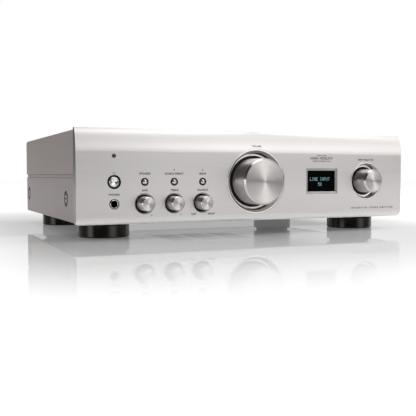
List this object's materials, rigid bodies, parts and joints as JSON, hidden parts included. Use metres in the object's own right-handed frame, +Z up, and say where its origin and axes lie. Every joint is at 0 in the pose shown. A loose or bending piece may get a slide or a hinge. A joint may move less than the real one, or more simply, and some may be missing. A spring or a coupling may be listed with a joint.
{
  "type": "integrated amplifier",
  "caption": "Integrated stereo amplifier with a curved metal front, a large volume knob, smaller controls and a small display.",
  "frame": {"origin": "centre of the bounding box's bottom face, where the amplifier stands", "axes": "+X to the amplifier's right seen from the front, +Y to the rear, +Z up"},
  "size_m": [0.434, 0.375, 0.1223],
  "materials": {
    "brushed_panel": "fine horizontal brushing, satin",
    "turned_metal": "spun face, bright chamfer",
    "cover_paint": "satin fine-texture paint",
    "black_steel": "matte black paint",
    "zinc_steel": "zinc-plated sheet",
    "rear_paint": "fine black texture paint",
    "foot_plastic": "satin gloss",
    "felt": "pressed felt",
    "screw_steel": "plated, machined",
    "black_plastic": "satin moulding",
    "window_acrylic": "polished",
    "lens_plastic": "polished",
    "chrome": "polished plate",
    "gold_plate": "gold plate",
    "board": "solder mask",
    "core_steel": "lacquered laminations",
    "winding_tape": "polyester tape",
    "sink_aluminium": "black anodised extrusion",
    "cap_sleeve": "shrink sleeve",
    "ribbon": "ribbed flat cable",
    "socket_plastic": "moulded, coloured by channel",
    "cap_plastic": "moulded, red or black"
  },
  "bodies": {
    "chassis": {"front_panel": "brushed_panel", "front_frame": "black_steel", "bottom_chassis": "zinc_steel", "rear_panel": "rear_paint", "top_cover": "cover_paint", "feet": "foot_plastic", "foot_pads": "felt", "case_screws": "screw_steel", "dial_rings": "turned_metal", "display_bezel": "turned_metal", "display_window": "window_acrylic", "display_module": "black_plastic", "indicator_lenses": "lens_plastic", "button_rings": "black_plastic", "headphone_jack": "chrome", "rotary_controls": "zinc_steel", "push_switches": "black_plastic", "control_board": "board", "transformer_core": "core_steel", "transformer_winding": "winding_tape", "heat_sink": "sink_aluminium", "power_transistors": "black_plastic", "amplifier_board": "board", "filter_capacitors": "cap_sleeve", "input_board": "board", "ribbon_cables": "ribbon", "rca_shells": "gold_plate", "rca_inserts": "socket_plastic", "digital_sockets": "black_plastic", "mains_inlet": "black_plastic", "terminal_base": "black_plastic", "terminal_studs": "gold_plate", "antenna_sockets": "gold_plate"},
    "power_button": {"power_button": "chrome"},
    "speaker_button": {"speaker_button": "turned_metal"},
    "direct_button": {"direct_button": "turned_metal"},
    "mode_button": {"mode_button": "turned_metal"},
    "volume_control": {"volume_knob": "turned_metal", "volume_shaft": "zinc_steel"},
    "selector_control": {"selector_knob": "turned_metal", "selector_shaft": "zinc_steel"},
    "bass_control": {"bass_knob": "turned_metal", "bass_shaft": "zinc_steel"},
    "treble_control": {"treble_knob": "turned_metal", "treble_shaft": "zinc_steel"},
    "balance_control": {"balance_knob": "turned_metal", "balance_shaft": "zinc_steel"},
    "terminal_cap_1": {"terminal_cap_1": "cap_plastic"},
    "terminal_cap_2": {"terminal_cap_2": "cap_plastic"},
    "terminal_cap_3": {"terminal_cap_3": "cap_plastic"},
    "terminal_cap_4": {"terminal_cap_4": "cap_plastic"},
    "terminal_cap_5": {"terminal_cap_5": "cap_plastic"},
    "terminal_cap_6": {"terminal_cap_6": "cap_plastic"},
    "terminal_cap_7": {"terminal_cap_7": "cap_plastic"},
    "terminal_cap_8": {"terminal_cap_8": "cap_plastic"},
    "antenna_knuckle_left": {"antenna_knuckle_left": "black_plastic"},
    "antenna_rod_left": {"antenna_rod_left": "black_plastic"},
    "antenna_knuckle_right": {"antenna_knuckle_right": "black_plastic"},
    "antenna_rod_right": {"antenna_rod_right": "black_plastic"}
  },
  "joints": [
    {"name": "power_press", "type": "slide", "parent": "chassis", "child": "power_button", "axis": [0, 1, 0], "range_m": [0, 0.0025]},
    {"name": "speaker_press", "type": "slide", "parent": "chassis", "child": "speaker_button", "axis": [0, 1, 0], "range_m": [0, 0.0015]},
    {"name": "direct_press", "type": "slide", "parent": "chassis", "child": "direct_button", "axis": [0, 1, 0], "range_m": [0, 0.0015]},
    {"name": "mode_press", "type": "slide", "parent": "chassis", "child": "mode_button", "axis": [0, 1, 0], "range_m": [0, 0.0015]},
    {"name": "volume_turn", "type": "hinge", "parent": "chassis", "child": "volume_control", "pos_m": [0, -0.166, 0.0635], "axis": [0, 1, 0], "continuous": true},
    {"name": "selector_turn", "type": "hinge", "parent": "chassis", "child": "selector_control", "pos_m": [0.161, -0.166, 0.0635], "axis": [0, 1, 0], "continuous": true},
    {"name": "bass_turn", "type": "hinge", "parent": "chassis", "child": "bass_control", "pos_m": [-0.14, -0.166, 0.0393], "axis": [0, 1, 0], "range_deg": [-150, 150]},
    {"name": "treble_turn", "type": "hinge", "parent": "chassis", "child": "treble_control", "pos_m": [-0.105, -0.166, 0.0393], "axis": [0, 1, 0], "range_deg": [-150, 150]},
    {"name": "balance_turn", "type": "hinge", "parent": "chassis", "child": "balance_control", "pos_m": [-0.07, -0.166, 0.0393], "axis": [0, 1, 0], "range_deg": [-150, 150]},
    {"name": "terminal_cap_1_unscrew", "type": "slide", "parent": "chassis", "child": "terminal_cap_1", "axis": [0, 1, 0], "range_m": [0, 0.005]},
    {"name": "terminal_cap_2_unscrew", "type": "slide", "parent": "chassis", "child": "terminal_cap_2", "axis": [0, 1, 0], "range_m": [0, 0.005]},
    {"name": "terminal_cap_3_unscrew", "type": "slide", "parent": "chassis", "child": "terminal_cap_3", "axis": [0, 1, 0], "range_m": [0, 0.005]},
    {"name": "terminal_cap_4_unscrew", "type": "slide", "parent": "chassis", "child": "terminal_cap_4", "axis": [0, 1, 0], "range_m": [0, 0.005]},
    {"name": "terminal_cap_5_unscrew", "type": "slide", "parent": "chassis", "child": "terminal_cap_5", "axis": [0, 1, 0], "range_m": [0, 0.005]},
    {"name": "terminal_cap_6_unscrew", "type": "slide", "parent": "chassis", "child": "terminal_cap_6", "axis": [0, 1, 0], "range_m": [0, 0.005]},
    {"name": "terminal_cap_7_unscrew", "type": "slide", "parent": "chassis", "child": "terminal_cap_7", "axis": [0, 1, 0], "range_m": [0, 0.005]},
    {"name": "terminal_cap_8_unscrew", "type": "slide", "parent": "chassis", "child": "terminal_cap_8", "axis": [0, 1, 0], "range_m": [0, 0.005]},
    {"name": "antenna_left_swivel", "type": "hinge", "parent": "chassis", "child": "antenna_knuckle_left", "pos_m": [-0.192, 0.162, 0.1105], "axis": [0, -1, 0], "range_deg": [0, 180]},
    {"name": "antenna_left_tilt", "type": "hinge", "parent": "antenna_knuckle_left", "child": "antenna_rod_left", "pos_m": [-0.192, 0.178, 0.1105], "axis": [0, 0, 1], "range_deg": [0, 90]},
    {"name": "antenna_right_swivel", "type": "hinge", "parent": "chassis", "child": "antenna_knuckle_right", "pos_m": [0.192, 0.162, 0.1105], "axis": [0, 1, 0], "range_deg": [0, 180]},
    {"name": "antenna_right_tilt", "type": "hinge", "parent": "antenna_knuckle_right", "child": "antenna_rod_right", "pos_m": [0.192, 0.178, 0.1105], "axis": [0, 0, -1], "range_deg": [0, 90]}
  ]
}
